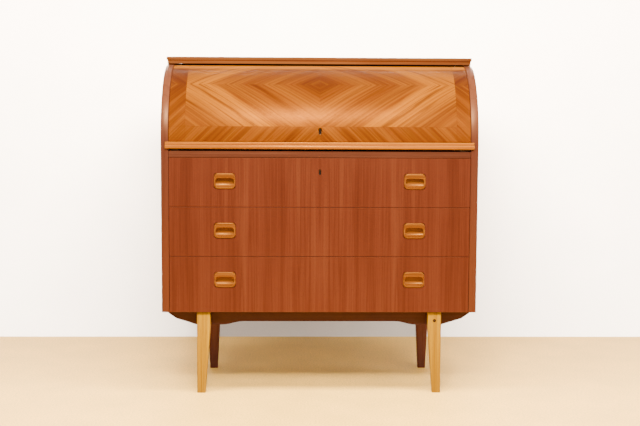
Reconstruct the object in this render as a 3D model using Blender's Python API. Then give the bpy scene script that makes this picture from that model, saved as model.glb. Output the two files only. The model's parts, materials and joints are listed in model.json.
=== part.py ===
# Cylinder-fall writing desk: a veneered case with a rigid rolling lid over a fitted gallery,
# a pull-out writing slide, three long drawers, and a low frame on four tapered legs.
# Metres, +Z up, front towards -Y, origin on the floor under the middle of the desk.
import math

import bpy
import bmesh
from mathutils import Vector

# ---- driving dimensions ----
CASE_WIDTH = 0.9626
SIDE_THICK = 0.0233
ROLL_RADIUS = 0.2300
BACK_ALLOWANCE = 0.012
BAR_PROUD = 0.010
LEG_HEIGHT = 0.2546
BOTTOM_DRAWER_HEIGHT = 0.1726
MIDDLE_DRAWER_HEIGHT = 0.1512
TOP_DRAWER_HEIGHT = 0.1509
RAIL_HEIGHT = 0.0197
RAIL_DEPTH = 0.029
SLIDE_GAP = 0.006
SLIDE_THICK = 0.0145
BAR_STEP = 0.0074
TOP_THICK = 0.0213
TOP_LIP_HEIGHT = 0.0095
TOP_LIP_OVERHANG = 0.003
TOP_CLEARANCE = 0.0046
TOP_FRONT_SETBACK = 0.0165

FIT = 0.0003
RUN = 0.0010
PANEL_THIN = 0.006
BACK_PANEL_INSET = 0.0015
BOTTOM_PANEL_THICK = 0.012

# drawers
DRAWER_FRONT_THICK = 0.018
DRAWER_FRONT_GAP = 0.001
DRAWER_FRONT_SETBACK = 0.001
DRAWER_FRONT_SIDE_GAP = 0.0008
DRAWER_SIDE_THICK = 0.012
DRAWER_SIDE_CLEARANCE = 0.003
DRAWER_BOX_RISE = 0.016
DRAWER_BOX_DROP = 0.012
DRAWER_BOTTOM_THICK = 0.005
DRAWER_BOTTOM_LIFT = 0.008
DRAWER_GROOVE = 0.005
DRAWER_BACK_ROOM = 0.030
RUNNER_POST_ROOM = 0.004
RUNNER_WIDTH = 0.0095
RUNNER_HEIGHT = 0.016
RUNNER_SLACK = 0.001

# drawer handles
HANDLE_SPACING = 0.2885
HANDLE_WIDTH = 0.0657
HANDLE_HEIGHT = 0.048
HANDLE_CORNER = 0.009
HANDLE_PROUD = 0.004
HANDLE_BELOW_TOP = 0.071
HANDLE_WALL = 0.0044
HANDLE_LIP_HEIGHT = 0.0162
HANDLE_LIP_THICK = 0.0075
HANDLE_WELL_DEPTH = 0.0155
HANDLE_WELL_CORNER = 0.006
HANDLE_SOFT = 0.0015
HANDLE_RIM = 0.004

# rolling lid
LID_SETBACK = 0.0015
LID_THICK = 0.012
LID_END_GAP = 0.001
LID_RISE = 0.002
LID_RAIL_DEPTH = 0.0035
LID_RAIL_HEIGHT = 0.052
ARM_THICK = 0.0100
ARM_TO_SLIDE = 0.0034
HUB_RADIUS = 0.014
PIN_RADIUS = 0.0049
PIN_CLEARANCE = 0.0001
PIN_SEAT = 0.012
PIN_PROUD = 0.0004
ARM_EDGE_DEG = 2.0

# writing slide
SLIDE_LENGTH = 0.400
SLIDE_TRAVEL = 0.250
SLIDE_STOP_DEPTH = 0.020
SLIDE_STOP_HEIGHT = 0.0155
SLIDE_RUNNER_WIDTH = 0.0277
SLIDE_RUNNER_HEIGHT = 0.0177
BAR_NOTCH = 0.0100
BAR_DEPTH_INSIDE = 0.010
BAR_STEP_BACK = 0.0035

# gallery
GALLERY_FLOOR_THICK = 0.006
GALLERY_OVER_SLIDE = 0.0007
GALLERY_TO_ARM = 0.0015
GALLERY_TO_HUB = 0.004
GALLERY_END_THICK = 0.010
GALLERY_FORE = 0.020
GALLERY_CLEAR = 0.0053
GALLERY_BACK_SHARE = 0.756
GALLERY_WALL = 0.006
GALLERY_BAY_HALF = 0.150
PEN_DRAWER_HEIGHT = 0.052
PEN_FRONT_THICK = 0.008
PEN_TRAY_WALL = 0.006
PEN_TRAY_DROP = 0.014
PEN_NOTCH_RADIUS = 0.012
PEN_REAR_GAP = 0.004

# locks
KEYHOLE_WIDTH = 0.0076
KEYHOLE_HEIGHT = 0.0180
ESCUTCHEON_WALL = 0.0012
LID_KEY_HEIGHT = 0.0315
DRAWER_KEY_BELOW_TOP = 0.0436
LOCK_WIDTH = 0.060
LOCK_DEPTH = 0.008
LOCK_HEIGHT = 0.046
BOLT_WIDTH = 0.016
BOLT_DEPTH = 0.0036
LID_BOLT_THROW = 0.016
DRAWER_BOLT_THROW = 0.008
BOLT_LENGTH = 0.030
BOLT_SLACK = 0.0006
BOLT_RECESS = 0.0004
STRIKE_THICK = 0.0010
STRIKE_HALF_WIDTH = 0.022
STRIKE_HALF_DEPTH = 0.007
STRIKE_ROOM = 0.001
LID_LOCK_LIFT = 0.002
DRAWER_LOCK_DROP = 0.0006
DRAWER_LOCK_EXTRA = 0.006
ESCUTCHEON_DEPTH = 0.006
LID_ESCUTCHEON_SINK = 0.0038
DRAWER_ESCUTCHEON_PROUD = 0.0004

# base
LEG_INSET = 0.1056
LEG_TOP_WIDTH = 0.0410
LEG_FOOT_WIDTH = 0.0255
REAR_LEG_STEP = 0.0167
REAR_LEG_TOP_WIDTH = 0.0436
REAR_LEG_FOOT_WIDTH = 0.0250
REAR_LEG_SPLAY = 0.0078
LEG_TOP_DEPTH = 0.034
LEG_FOOT_DEPTH = 0.027
LEG_SETBACK = 0.012
LEG_PITCH = 0.321
APRON_THICK = 0.018
APRON_MIDDLE = 0.0367
APRON_LOW = 0.0472
APRON_FLARE = 0.066
APRON_FLAT = 0.059
APRON_TIP_INSET = 0.0153
APRON_TIP_DROP = 0.0105
APRON_KNEE_INSET = 0.024
APRON_KNEE_DROP = 0.0272
APRON_PAST_LEG = 0.002
CROSS_RAIL_THICK = 0.018
CROSS_RAIL_HEIGHT = 0.040
CROSS_RAIL_INSET = 0.004
LEG_ROUND = 0.0022
SCREW_RADIUS = 0.0028
SCREW_HEAD_RADIUS = 0.0052
SCREW_HEAD_HEIGHT = 0.004
SCREW_DROP = 0.028
SCREW_SINK = 0.001
SCREW_LENGTH = 0.044

# ---- places worked out from the driving dimensions ----
CASE_DEPTH = 2 * ROLL_RADIUS + BACK_ALLOWANCE
FRONT = BAR_PROUD / 2 - CASE_DEPTH / 2
BACK = FRONT + CASE_DEPTH
OUTER = CASE_WIDTH / 2
INNER = OUTER - SIDE_THICK
CASE_BOTTOM = LEG_HEIGHT
DRAWER_LINES = [
    CASE_BOTTOM,
    CASE_BOTTOM + BOTTOM_DRAWER_HEIGHT,
    CASE_BOTTOM + BOTTOM_DRAWER_HEIGHT + MIDDLE_DRAWER_HEIGHT,
    CASE_BOTTOM + BOTTOM_DRAWER_HEIGHT + MIDDLE_DRAWER_HEIGHT + TOP_DRAWER_HEIGHT,
]
RAIL_BOTTOM = DRAWER_LINES[3] + DRAWER_FRONT_GAP / 2
RAIL_TOP = DRAWER_LINES[3] + RAIL_HEIGHT
SLIDE_BOTTOM = RAIL_TOP + SLIDE_GAP
SLIDE_TOP = SLIDE_BOTTOM + SLIDE_THICK
BAR_TOP = SLIDE_TOP + BAR_STEP
LID_BOTTOM = BAR_TOP + RUN
AXIS_Z = LID_BOTTOM - LID_RISE
AXIS_Y = FRONT + ROLL_RADIUS
TOP_BOTTOM = AXIS_Z + ROLL_RADIUS + TOP_CLEARANCE
TOP_TOP = TOP_BOTTOM + TOP_THICK
LID_OUTER = ROLL_RADIUS - LID_SETBACK
LID_INNER = LID_OUTER - LID_THICK
LID_HALF = INNER - LID_END_GAP
LID_RAIL_TOP = LID_BOTTOM + LID_RAIL_HEIGHT
LID_RAIL_RISE = LID_RAIL_TOP - AXIS_Z
LID_RAIL_FACE = AXIS_Y - math.sqrt(LID_INNER ** 2 - LID_RAIL_RISE ** 2) + LID_RAIL_DEPTH
LID_LOCK_FACE = LID_RAIL_FACE + FIT
LID_BOLT_Y = LID_LOCK_FACE + LOCK_DEPTH / 2
LID_BOLT_LOW = LID_BOTTOM + LID_LOCK_LIFT + BOLT_RECESS
ARM_OUT = LID_HALF - FIT
ARM_IN = ARM_OUT - ARM_THICK
BOARD_HALF = ARM_IN - ARM_TO_SLIDE
DRAWER_FACE = FRONT + DRAWER_FRONT_SETBACK
DRAWER_REAR = DRAWER_FACE + DRAWER_FRONT_THICK
BOX_FRONT = DRAWER_REAR + FIT
BOX_BACK = BACK - DRAWER_BACK_ROOM
BACK_PANEL_FRONT = BACK - PANEL_THIN - BACK_PANEL_INSET
FLOOR_BOTTOM = SLIDE_TOP + GALLERY_OVER_SLIDE
FLOOR_TOP = FLOOR_BOTTOM + GALLERY_FLOOR_THICK
GALLERY_RADIUS = LID_INNER - GALLERY_CLEAR
GALLERY_REAR = LID_INNER * GALLERY_BACK_SHARE
GALLERY_HEIGHT = math.sqrt(GALLERY_RADIUS ** 2 - GALLERY_REAR ** 2)
GALLERY_OUT = ARM_IN - GALLERY_TO_ARM
GALLERY_IN = GALLERY_OUT - GALLERY_END_THICK
GALLERY_SHOULDER = AXIS_Y + HUB_RADIUS + GALLERY_TO_HUB
APRON_Y = FRONT + LEG_SETBACK + LEG_TOP_DEPTH + FIT
REAR_LEG_Y = FRONT + LEG_SETBACK + LEG_PITCH
REAR_APRON_Y = REAR_LEG_Y - FIT - APRON_THICK
FRONT_LEG_OUT = OUTER - LEG_INSET
REAR_LEG_OUT = FRONT_LEG_OUT - REAR_LEG_STEP

# ---- finishes: colour, roughness, metallic ----
FINISHES = {
    "teak_red": ((0.36, 0.105, 0.030), 0.42, 0.0),
    "teak_gold": ((0.50, 0.185, 0.045), 0.38, 0.0),
    "teak_light": ((0.58, 0.25, 0.085), 0.40, 0.0),
    "teak_dark": ((0.20, 0.055, 0.022), 0.50, 0.0),
    "beech": ((0.72, 0.40, 0.13), 0.45, 0.0),
    "pale_wood": ((0.66, 0.46, 0.26), 0.55, 0.0),
    "brass": ((0.55, 0.38, 0.14), 0.35, 1.0),
    "steel": ((0.45, 0.45, 0.44), 0.40, 1.0),
}


def finish_material(name):
    found = bpy.data.materials.get(name)
    if found:
        return found
    colour, roughness, metallic = FINISHES[name]
    material = bpy.data.materials.new(name)
    material.use_nodes = True
    shader = material.node_tree.nodes["Principled BSDF"]
    shader.inputs["Base Color"].default_value = (*colour, 1.0)
    shader.inputs["Roughness"].default_value = roughness
    shader.inputs["Metallic"].default_value = metallic
    return material


# ---- shapes added to a bmesh, in world metres ----
def add_prism(bm, outline, axis, low, high):
    # outline is a loop of points in the plane across the axis, in the order of the other two axes
    order = {"X": (0, 1, 2), "Y": (1, 0, 2), "Z": (2, 0, 1)}[axis]
    corners = []
    for u, v in outline:
        spot = [0.0, 0.0, 0.0]
        spot[order[0]] = low
        spot[order[1]] = u
        spot[order[2]] = v
        corners.append(bm.verts.new(spot))
    face = bm.faces.new(corners)
    grown = bmesh.ops.extrude_face_region(bm, geom=[face])
    moved = [item for item in grown["geom"] if isinstance(item, bmesh.types.BMVert)]
    shift = Vector((0.0, 0.0, 0.0))
    shift[order[0]] = high - low
    bmesh.ops.translate(bm, verts=moved, vec=shift)


def add_box(bm, x, y, z):
    outline = [(x[0], y[0]), (x[1], y[0]), (x[1], y[1]), (x[0], y[1])]
    add_prism(bm, outline, "Z", z[0], z[1])


def arc(centre, radius, start_deg, end_deg, steps):
    points = []
    for step in range(steps + 1):
        angle = math.radians(start_deg + (end_deg - start_deg) * step / steps)
        points.append((centre[0] + radius * math.cos(angle), centre[1] + radius * math.sin(angle)))
    return points


def add_rod(bm, centre, radius, axis, low, high, sides=24):
    outline = arc(centre, radius, 0, 360 - 360 / sides, sides - 1)
    add_prism(bm, outline, axis, low, high)


def rounded_rectangle(u, v, radius, steps=5):
    # u and v are low and high sizes across the two axes
    points = []
    points += arc((u[1] - radius, v[1] - radius), radius, 0, 90, steps)
    points += arc((u[0] + radius, v[1] - radius), radius, 90, 180, steps)
    points += arc((u[0] + radius, v[0] + radius), radius, 180, 270, steps)
    points += arc((u[1] - radius, v[0] + radius), radius, 270, 360, steps)
    return points


def soften(bm, width, wanted=None):
    edges = [edge for edge in bm.edges if wanted is None or wanted(edge)]
    bmesh.ops.bevel(bm, geom=edges, offset=width, segments=1, profile=0.5, affect="EDGES", material=-1)


def make_part(name, bm, finish, holder=None, origin=None):
    # origin is the world place of the object's own origin, by default the middle of its box
    bmesh.ops.recalc_face_normals(bm, faces=bm.faces)
    if origin is None:
        lows = [min(vert.co[i] for vert in bm.verts) for i in range(3)]
        highs = [max(vert.co[i] for vert in bm.verts) for i in range(3)]
        origin = [(lows[i] + highs[i]) / 2 for i in range(3)]
    origin = Vector(origin)
    bmesh.ops.translate(bm, verts=bm.verts, vec=-origin)
    mesh = bpy.data.meshes.new(name)
    bm.to_mesh(mesh)
    bm.free()
    mesh.shade_smooth()
    mesh.set_sharp_from_angle(angle=math.radians(30))
    part = bpy.data.objects.new(name, mesh)
    bpy.context.scene.collection.objects.link(part)
    if finish:
        mesh.materials.append(finish_material(finish))
    if holder:
        part.parent = holder
        part.location = origin - holder.location
    else:
        part.location = origin
    return part


def cut(part, bm, mode="DIFFERENCE"):
    # bm holds one or more closed shapes, which stay as one hidden cutter
    cutter = make_part("cutter_" + part.name + "_" + str(len(part.modifiers)), bm, None, part.parent)
    cutter.hide_render = True
    cutter.display_type = "WIRE"
    boolean = part.modifiers.new("cut", "BOOLEAN")
    boolean.operation = mode
    boolean.solver = "EXACT"
    boolean.object = cutter
    return cutter


def make_box(name, x, y, z, finish, holder=None, edge=0.0008):
    bm = bmesh.new()
    add_box(bm, x, y, z)
    if edge:
        soften(bm, edge)
    return make_part(name, bm, finish, holder)


def make_holder(name, place):
    # an empty on the axis or the track of a moving body
    holder = bpy.data.objects.new(name, None)
    holder.empty_display_size = 0.05
    holder.location = place
    bpy.context.scene.collection.objects.link(holder)
    return holder


def keyhole_outline(x, z, width, height):
    # an upright slot with round ends
    radius = width / 2
    rise = height / 2 - radius
    return arc((x, z + rise), radius, 0, 180, 6) + arc((x, z - rise), radius, 180, 360, 6)


# ---- case ----
def make_side_panel(name, side):
    top = TOP_BOTTOM - FIT
    profile = [(FRONT, CASE_BOTTOM), (BACK, CASE_BOTTOM), (BACK, top), (AXIS_Y, top)]
    profile += arc((AXIS_Y, AXIS_Z), ROLL_RADIUS, 90, 180, 24)
    low, high = sorted((side * INNER, side * OUTER))
    bm = bmesh.new()
    add_prism(bm, profile, "X", low, high)
    panel = make_part(name, bm, "teak_red")
    holes = bmesh.new()
    notch = sorted((side * (INNER - 0.002), side * (INNER + BAR_NOTCH + RUN / 2)))
    add_box(holes, notch, (FRONT - 0.01, FRONT + BAR_DEPTH_INSIDE + FIT), (SLIDE_BOTTOM - FIT, BAR_TOP + FIT))
    seat = sorted((side * (INNER - 0.002), side * (INNER + PIN_SEAT + FIT)))
    add_rod(holes, (AXIS_Y, AXIS_Z), PIN_RADIUS + PIN_CLEARANCE, "X", seat[0], seat[1])
    cut(panel, holes)


def make_top_board():
    half = OUTER + TOP_LIP_OVERHANG / 2
    waist = half - TOP_LIP_OVERHANG
    front = AXIS_Y - TOP_FRONT_SETBACK
    bm = bmesh.new()
    lip_bottom = TOP_TOP - TOP_LIP_HEIGHT
    add_box(bm, (-waist, waist), (front + TOP_LIP_OVERHANG, BACK), (TOP_BOTTOM, lip_bottom))
    cap = max(bm.faces, key=lambda face: face.calc_center_median().z)
    grown = bmesh.ops.extrude_face_region(bm, geom=[cap])
    rim = [item for item in grown["geom"] if isinstance(item, bmesh.types.BMVert)]
    bmesh.ops.delete(bm, geom=[cap], context="FACES_ONLY")
    for vert in rim:
        vert.co.x = math.copysign(half, vert.co.x)
        vert.co.z += TOP_LIP_OVERHANG * 0.4
        if vert.co.y < AXIS_Y:
            vert.co.y = front
    cap = max(bm.faces, key=lambda face: face.calc_center_median().z)
    grown = bmesh.ops.extrude_face_region(bm, geom=[cap])
    rim = [item for item in grown["geom"] if isinstance(item, bmesh.types.BMVert)]
    bmesh.ops.delete(bm, geom=[cap], context="FACES_ONLY")
    for vert in rim:
        vert.co.z = TOP_TOP
    soften(bm, 0.0012, lambda edge: min(v.co.z for v in edge.verts) > lip_bottom + 0.0005)
    make_part("top_board", bm, "teak_gold")


def make_case():
    make_side_panel("side_panel_left", -1)
    make_side_panel("side_panel_right", 1)
    make_top_board()
    inside = (FIT - INNER, INNER - FIT)
    make_box("bottom_panel", inside, (BOX_FRONT, BACK_PANEL_FRONT - FIT),
             (CASE_BOTTOM + FIT, CASE_BOTTOM + BOTTOM_PANEL_THICK), "pale_wood")
    make_box("back_panel", inside, (BACK_PANEL_FRONT, BACK_PANEL_FRONT + PANEL_THIN),
             (CASE_BOTTOM + FIT, TOP_BOTTOM - FIT), "teak_dark")
    rail = make_box("front_rail", inside, (DRAWER_FACE, DRAWER_FACE + RAIL_DEPTH),
                    (RAIL_BOTTOM, RAIL_TOP), "teak_red")
    mortise = bmesh.new()
    half = BOLT_WIDTH / 2 + BOLT_SLACK
    middle = DRAWER_REAR + FIT + LOCK_DEPTH / 2
    add_box(mortise, (-half, half), (middle - BOLT_DEPTH / 2 - BOLT_SLACK, middle + BOLT_DEPTH / 2 + BOLT_SLACK),
            (RAIL_BOTTOM - 0.002, RAIL_BOTTOM + DRAWER_BOLT_THROW + RUN))
    cut(rail, mortise)


def make_runner_frame(name, side):
    # three cleats tied by a post behind the drawers
    x = sorted((side * (INNER - FIT), side * (INNER - FIT - RUNNER_WIDTH)))
    rear = BACK_PANEL_FRONT - FIT
    post = BOX_BACK + RUNNER_POST_ROOM
    middles = [(low + high) / 2 for low, high in zip(DRAWER_LINES, DRAWER_LINES[1:])]
    outline = [(rear, middles[0] - RUNNER_HEIGHT / 2), (rear, middles[2] + RUNNER_HEIGHT / 2)]
    for middle in reversed(middles):
        outline += [(post, middle + RUNNER_HEIGHT / 2), (BOX_FRONT, middle + RUNNER_HEIGHT / 2),
                    (BOX_FRONT, middle - RUNNER_HEIGHT / 2), (post, middle - RUNNER_HEIGHT / 2)]
    outline.pop()
    outline.remove((post, middles[2] + RUNNER_HEIGHT / 2))
    bm = bmesh.new()
    add_prism(bm, outline, "X", x[0], x[1])
    make_part(name, bm, "pale_wood")


def make_slide_guide(name, side):
    # a runner under the slide, with a thicker rear part that carries the gallery floor
    outer = side * (INNER - FIT)
    low = SLIDE_BOTTOM - FIT - SLIDE_RUNNER_HEIGHT
    rear = BACK_PANEL_FRONT - FIT
    x = sorted((outer, side * (INNER - FIT - SLIDE_RUNNER_WIDTH)))
    guide = make_box(name, x, (DRAWER_FACE + RAIL_DEPTH + FIT, rear), (low, SLIDE_BOTTOM - FIT), "pale_wood", None, 0)
    cleat = bmesh.new()
    x = sorted((outer, side * (BOARD_HALF + RUN)))
    add_box(cleat, x, (GALLERY_SHOULDER, rear), (low, FLOOR_BOTTOM - FIT))
    cut(guide, cleat, "UNION")


# ---- gallery inside the roll ----
def make_gallery():
    fore = AXIS_Y - GALLERY_FORE
    rear = AXIS_Y + GALLERY_REAR
    wide = GALLERY_SHOULDER
    outline = [(-GALLERY_OUT, fore), (GALLERY_OUT, fore), (GALLERY_OUT, wide), (INNER - FIT, wide),
               (INNER - FIT, BACK_PANEL_FRONT - FIT), (FIT - INNER, BACK_PANEL_FRONT - FIT),
               (FIT - INNER, wide), (-GALLERY_OUT, wide)]
    bm = bmesh.new()
    add_prism(bm, outline, "Z", FLOOR_BOTTOM, FLOOR_TOP)
    make_part("gallery_floor", bm, "teak_light")

    low = FLOOR_TOP + FIT
    high = AXIS_Z + GALLERY_HEIGHT
    under = high - GALLERY_WALL
    back_face = rear - GALLERY_WALL * 2 / 3
    for label, side in (("left", -1), ("right", 1)):
        x = sorted((side * GALLERY_OUT, side * GALLERY_IN))
        make_box("gallery_end_" + label, x, (fore, rear), (low, high), "teak_light")
    inside = (FIT - GALLERY_IN, GALLERY_IN - FIT)
    make_box("gallery_top", inside, (fore, rear), (under, high), "teak_light")

    # the insert: a back, two dividers and two shelves, glued up as one
    bay = GALLERY_BAY_HALF
    wall = bay + GALLERY_WALL
    shelf_low = low + PEN_DRAWER_HEIGHT + 2 * RUN
    shelf_high = shelf_low + GALLERY_WALL
    insert = make_box("gallery_insert", inside, (back_face, rear), (low, under - FIT), "teak_light", None, 0)
    partitions = bmesh.new()
    for side in (-1, 1):
        reach = GALLERY_IN - FIT
        outline = [(bay, low), (wall, low), (wall, shelf_low), (reach, shelf_low), (reach, shelf_high),
                   (wall, shelf_high), (wall, under - FIT), (bay, under - FIT)]
        add_prism(partitions, [(side * x, z) for x, z in outline], "Y", fore, back_face + 0.001)
    cut(insert, partitions, "UNION")
    for label, side in (("left", -1), ("right", 1)):
        make_pen_drawer(label, side, (wall + RUN, GALLERY_IN - RUN), low, back_face)


def make_pen_drawer(label, side, reach, floor, back_face):
    # a tray with its front in one piece, and a finger notch in the front's top edge
    fore = AXIS_Y - GALLERY_FORE
    rear = back_face - PEN_REAR_GAP
    x = sorted((side * reach[0], side * reach[1]))
    middle = (x[0] + x[1]) / 2
    holder = make_holder("pen_drawer_" + label + "_track", (middle, fore, floor))
    low = floor + FIT
    top = floor + PEN_DRAWER_HEIGHT + RUN / 2
    inside = fore + PEN_FRONT_THICK
    outline = [(fore, low), (rear, low), (rear, top - PEN_TRAY_DROP), (inside, top - PEN_TRAY_DROP),
               (inside, top), (fore, top)]
    bm = bmesh.new()
    add_prism(bm, outline, "X", x[0], x[1])
    drawer = make_part("pen_drawer_" + label, bm, "teak_gold", holder)
    hollow = bmesh.new()
    add_rod(hollow, (middle, top), PEN_NOTCH_RADIUS, "Y", fore - 0.005, inside + 0.0001)
    cut(drawer, hollow)
    wall = PEN_TRAY_WALL
    well = bmesh.new()
    add_box(well, (x[0] + wall, x[1] - wall), (inside, rear - wall), (floor + wall, top + 0.01))
    cut(drawer, well)


# ---- rolling lid ----
def make_lid():
    holder = make_holder("lid_axis", (0.0, AXIS_Y, AXIS_Z))
    axis = (AXIS_Y, AXIS_Z)
    start = 180 - math.degrees(math.asin(LID_RISE / LID_OUTER))
    outline = arc(axis, LID_OUTER, start, 90, 30) + arc(axis, LID_INNER, 90, start, 30)
    bm = bmesh.new()
    add_prism(bm, outline, "X", -LID_HALF, LID_HALF)
    shell = make_part("lid_shell", bm, "teak_gold", holder)

    # the stiffening rail glued inside the bottom edge carries the lock
    bend = 180 - math.degrees(math.asin(LID_RAIL_RISE / (LID_INNER - FIT)))
    foot = 180 - math.degrees(math.asin(LID_RISE / (LID_INNER - FIT)))
    outline = arc(axis, LID_INNER - FIT, foot, bend, 6)
    outline += [(LID_RAIL_FACE, LID_RAIL_TOP), (LID_RAIL_FACE, LID_BOTTOM)]
    bm = bmesh.new()
    add_prism(bm, outline, "X", FIT - ARM_IN, ARM_IN - FIT)
    rail = make_part("lid_rail", bm, "teak_light", holder)

    key_z = LID_BOTTOM + LID_KEY_HEIGHT
    for part in (shell, rail):
        hole = bmesh.new()
        shape = keyhole_outline(0.0, key_z, KEYHOLE_WIDTH, KEYHOLE_HEIGHT)
        add_prism(hole, shape, "Y", FRONT - 0.01, LID_RAIL_FACE + 0.005)
        cut(part, hole)
    make_escutcheon("lid_escutcheon", key_z, FRONT + LID_SETBACK + LID_ESCUTCHEON_SINK, holder)
    make_lid_lock(holder)

    for label, side in (("left", -1), ("right", 1)):
        outline = arc(axis, LID_INNER - FIT, 180 - ARM_EDGE_DEG, 90 + ARM_EDGE_DEG, 18)
        outline += arc(axis, HUB_RADIUS, 90 + ARM_EDGE_DEG, -180 - ARM_EDGE_DEG, 20)
        x = sorted((side * ARM_IN, side * ARM_OUT))
        bm = bmesh.new()
        add_prism(bm, outline, "X", x[0], x[1])
        arm = make_part("lid_arm_" + label, bm, "teak_light", holder)
        hole = bmesh.new()
        add_rod(hole, axis, PIN_RADIUS + PIN_CLEARANCE, "X", x[0] - 0.01, x[1] + 0.01, 32)
        cut(arm, hole)

        pin = bmesh.new()
        x = sorted((side * (ARM_IN - PIN_PROUD), side * (INNER + PIN_SEAT)))
        add_rod(pin, axis, PIN_RADIUS, "X", x[0], x[1])
        make_part("lid_pivot_pin_" + label, pin, "steel")


def make_escutcheon(name, z, face, holder):
    # the metal lining of a keyhole, open right through
    width = KEYHOLE_WIDTH - 2 * FIT
    height = KEYHOLE_HEIGHT - 2 * FIT
    bm = bmesh.new()
    add_prism(bm, keyhole_outline(0.0, z, width, height), "Y", face, face + ESCUTCHEON_DEPTH)
    lining = make_part(name, bm, "brass", holder)
    hole = bmesh.new()
    inner = keyhole_outline(0.0, z, width - 2 * ESCUTCHEON_WALL, height - 2 * ESCUTCHEON_WALL)
    add_prism(hole, inner, "Y", face - 0.01, face + 0.02)
    cut(lining, hole)


def make_lock(name, face, z, bolt_z, holder):
    # a plate-sided case with a slot for its bolt, open at one end
    y = (face, face + LOCK_DEPTH)
    case = make_box(name, (-LOCK_WIDTH / 2, LOCK_WIDTH / 2), y, z, "steel", holder, 0.0005)
    half = BOLT_WIDTH / 2 + BOLT_SLACK
    middle = face + LOCK_DEPTH / 2
    slot = bmesh.new()
    add_box(slot, (-half, half), (middle - BOLT_DEPTH / 2 - BOLT_SLACK, middle + BOLT_DEPTH / 2 + BOLT_SLACK), bolt_z)
    cut(case, slot)


def make_lid_lock(holder):
    low = LID_BOTTOM + LID_LOCK_LIFT
    bolt_high = LID_BOLT_LOW + BOLT_LENGTH
    make_lock("lid_lock_case", LID_LOCK_FACE, (low, low + LOCK_HEIGHT), (low - 0.01, bolt_high + BOLT_SLACK), holder)
    track = make_holder("lid_bolt_track", (0.0, LID_BOLT_Y, LID_BOLT_LOW))
    y = (LID_BOLT_Y - BOLT_DEPTH / 2, LID_BOLT_Y + BOLT_DEPTH / 2)
    make_box("lid_lock_bolt", (-BOLT_WIDTH / 2, BOLT_WIDTH / 2), y, (LID_BOLT_LOW, bolt_high), "brass", track, 0.0004)


# ---- writing slide ----
def make_writing_slide():
    holder = make_holder("slide_track", (0.0, FRONT, SLIDE_BOTTOM))
    board_front = FRONT + BAR_DEPTH_INSIDE + FIT
    board_back = board_front + SLIDE_LENGTH
    board = make_box("slide_board", (-BOARD_HALF, BOARD_HALF), (board_front, board_back),
                     (SLIDE_BOTTOM, SLIDE_TOP), "teak_light", holder, 0.0006)
    # the bolt's pocket, and a recess for the strike plate round its mouth
    mouth_x = (-BOLT_WIDTH / 2 - STRIKE_ROOM, BOLT_WIDTH / 2 + STRIKE_ROOM)
    mouth_y = (LID_BOLT_Y - BOLT_DEPTH / 2 - STRIKE_ROOM, LID_BOLT_Y + BOLT_DEPTH / 2 + STRIKE_ROOM)
    pocket = bmesh.new()
    add_box(pocket, mouth_x, mouth_y, (LID_BOLT_LOW - LID_BOLT_THROW - STRIKE_ROOM, SLIDE_TOP + 0.01))
    cut(board, pocket)
    plate_x = (FIT - STRIKE_HALF_WIDTH, STRIKE_HALF_WIDTH - FIT)
    plate_y = (LID_BOLT_Y - STRIKE_HALF_DEPTH + FIT, LID_BOLT_Y + STRIKE_HALF_DEPTH - FIT)
    recess = bmesh.new()
    add_box(recess, (plate_x[0] - FIT, plate_x[1] + FIT), (plate_y[0] - FIT, plate_y[1] + FIT),
            (SLIDE_TOP - STRIKE_THICK - FIT, SLIDE_TOP + 0.01))
    cut(board, recess)
    strike = make_box("lid_strike_plate", plate_x, plate_y, (SLIDE_TOP - STRIKE_THICK, SLIDE_TOP), "brass", holder, 0)
    hole = bmesh.new()
    add_box(hole, mouth_x, mouth_y, (SLIDE_TOP - 0.01, SLIDE_TOP + 0.01))
    cut(strike, hole)

    nose = FRONT - BAR_PROUD
    round_radius = (SLIDE_TOP - SLIDE_BOTTOM) / 2
    middle = (SLIDE_TOP + SLIDE_BOTTOM) / 2
    outline = [(FRONT + BAR_DEPTH_INSIDE, SLIDE_BOTTOM), (FRONT + BAR_DEPTH_INSIDE, BAR_TOP),
               (FRONT - BAR_STEP_BACK, BAR_TOP), (FRONT - BAR_STEP_BACK, SLIDE_TOP)]
    outline += arc((nose + round_radius, middle), round_radius, 90, 270, 10)
    bm = bmesh.new()
    bar_half = INNER + BAR_NOTCH
    add_prism(bm, outline, "X", -bar_half, bar_half)
    make_part("pull_bar", bm, "teak_light", holder)

    stop_half = BOARD_HALF - SLIDE_RUNNER_WIDTH
    stop_front = DRAWER_FACE + RAIL_DEPTH + FIT + SLIDE_TRAVEL
    make_box("slide_stop", (-stop_half, stop_half), (stop_front, stop_front + SLIDE_STOP_DEPTH),
             (SLIDE_BOTTOM - FIT - SLIDE_STOP_HEIGHT, SLIDE_BOTTOM - FIT), "pale_wood", holder)


# ---- drawers ----
def handle_outline(x, z, grow=0.0):
    half = HANDLE_WIDTH / 2 + grow
    rise = HANDLE_HEIGHT / 2 + grow
    return rounded_rectangle((x - half, x + half), (z - rise, z + rise), HANDLE_CORNER + grow)


def well_section(z):
    # side view of the finger well: a scooped floor, and a hollow behind the lip
    face = DRAWER_FACE - HANDLE_PROUD
    bottom = z - HANDLE_HEIGHT / 2 + HANDLE_WALL
    lip = z + HANDLE_HEIGHT / 2 - HANDLE_LIP_HEIGHT
    deep = face + HANDLE_WELL_DEPTH
    behind = face + HANDLE_LIP_THICK
    scoop = (lip - bottom) * 0.6
    rim = face + HANDLE_RIM
    points = [(face - 0.005, bottom), (rim, bottom)]
    for step in range(1, 6):
        angle = math.radians(90 * step / 5)
        points.append((rim + (deep - rim) * math.sin(angle), bottom + scoop * (1 - math.cos(angle))))
    points += [(deep, z + HANDLE_HEIGHT / 2 - HANDLE_WALL), (behind, z + HANDLE_HEIGHT / 2 - HANDLE_WALL),
               (behind, lip + 0.002), (behind - 0.002, lip), (face - 0.005, lip)]
    return points


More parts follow.
